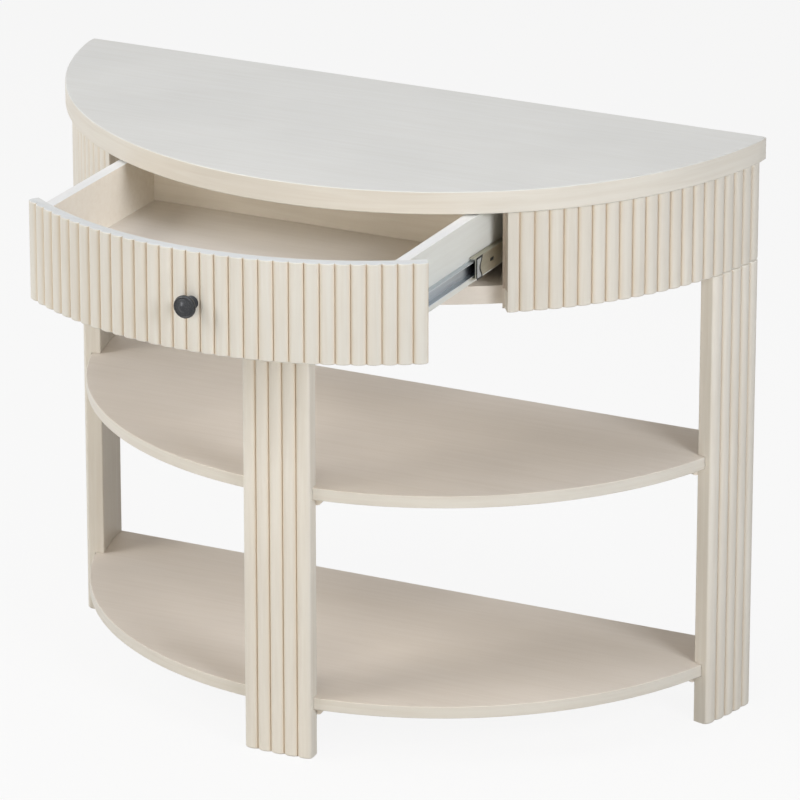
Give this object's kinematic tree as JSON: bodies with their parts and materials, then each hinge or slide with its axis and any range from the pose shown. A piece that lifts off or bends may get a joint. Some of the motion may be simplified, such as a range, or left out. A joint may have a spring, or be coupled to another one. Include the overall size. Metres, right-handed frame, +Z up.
{
  "type": "demilune console table",
  "caption": "Half-round console table with reeded apron and legs, open shelves and a curved-front drawer on ball-bearing slides.",
  "frame": {"origin": "on the floor, midway between the back edge and the knob's face with the drawer at rest, on the table's middle line", "axes": "+X to the right seen from the front, +Y towards the wall behind the table, +Z up"},
  "size_m": [0.95, 0.6504, 0.762],
  "materials": {
    "painted_wood": "whitewashed off-white paint over wood, satin",
    "raw_wood": "raw bent plywood",
    "zinc_steel": "zinc plated",
    "ball_cage_steel": "bright",
    "dark_bronze": "dark antique bronze, satin"
  },
  "bodies": {
    "carcass": {"top_panel": "painted_wood", "apron_fascia_left": "painted_wood", "apron_fascia_right": "painted_wood", "partition_left": "painted_wood", "partition_right": "painted_wood", "back_rail": "painted_wood", "bottom_board": "painted_wood", "leg_front": "painted_wood", "leg_back_left": "painted_wood", "leg_back_right": "painted_wood", "shelf_middle": "painted_wood", "shelf_lower": "painted_wood", "leg_block": "painted_wood", "cleat_middle_front": "painted_wood", "cleat_middle_left": "painted_wood", "cleat_middle_right": "painted_wood", "cleat_lower_front": "painted_wood", "cleat_lower_left": "painted_wood", "cleat_lower_right": "painted_wood", "apron_backing_left": "raw_wood", "apron_backing_right": "raw_wood", "dowels": "raw_wood", "slide_cabinet_left": "zinc_steel", "slide_cabinet_right": "zinc_steel", "slide_cabinet_screws": "zinc_steel", "block_screws": "zinc_steel", "leg_bolts": "zinc_steel", "cleat_screws": "zinc_steel"},
    "slide_middles": {"slide_middle_left": "zinc_steel", "slide_middle_right": "zinc_steel"},
    "outer_cages": {"slide_cage_outer_left": "ball_cage_steel", "slide_cage_outer_right": "ball_cage_steel"},
    "inner_cages": {"slide_cage_inner_left": "ball_cage_steel", "slide_cage_inner_right": "ball_cage_steel"},
    "drawer": {"drawer_front": "painted_wood", "drawer_side_left": "painted_wood", "drawer_side_right": "painted_wood", "drawer_back": "painted_wood", "drawer_bottom": "painted_wood", "knob": "dark_bronze", "knob_screw": "zinc_steel", "slide_drawer_left": "zinc_steel", "slide_drawer_right": "zinc_steel", "slide_drawer_screws": "zinc_steel"}
  },
  "joints": [
    {"name": "drawer_slide", "type": "slide", "parent": "carcass", "child": "drawer", "axis": [0, -1, 0], "range_m": [-0.21034, 0.04007]},
    {"name": "middle_slide", "type": "slide", "parent": "carcass", "child": "slide_middles", "axis": [0, -1, 0], "range_m": [-0.10517, 0.02003]},
    {"name": "outer_cage_slide", "type": "slide", "parent": "carcass", "child": "outer_cages", "axis": [0, -1, 0], "range_m": [-0.05259, 0.01002]},
    {"name": "inner_cage_slide", "type": "slide", "parent": "carcass", "child": "inner_cages", "axis": [0, -1, 0], "range_m": [-0.15776, 0.03005]}
  ],
  "couplings": [
    {"joint": "middle_slide", "follows": "drawer_slide", "ratio": 0.5},
    {"joint": "outer_cage_slide", "follows": "drawer_slide", "ratio": 0.25},
    {"joint": "inner_cage_slide", "follows": "drawer_slide", "ratio": 0.75}
  ]
}
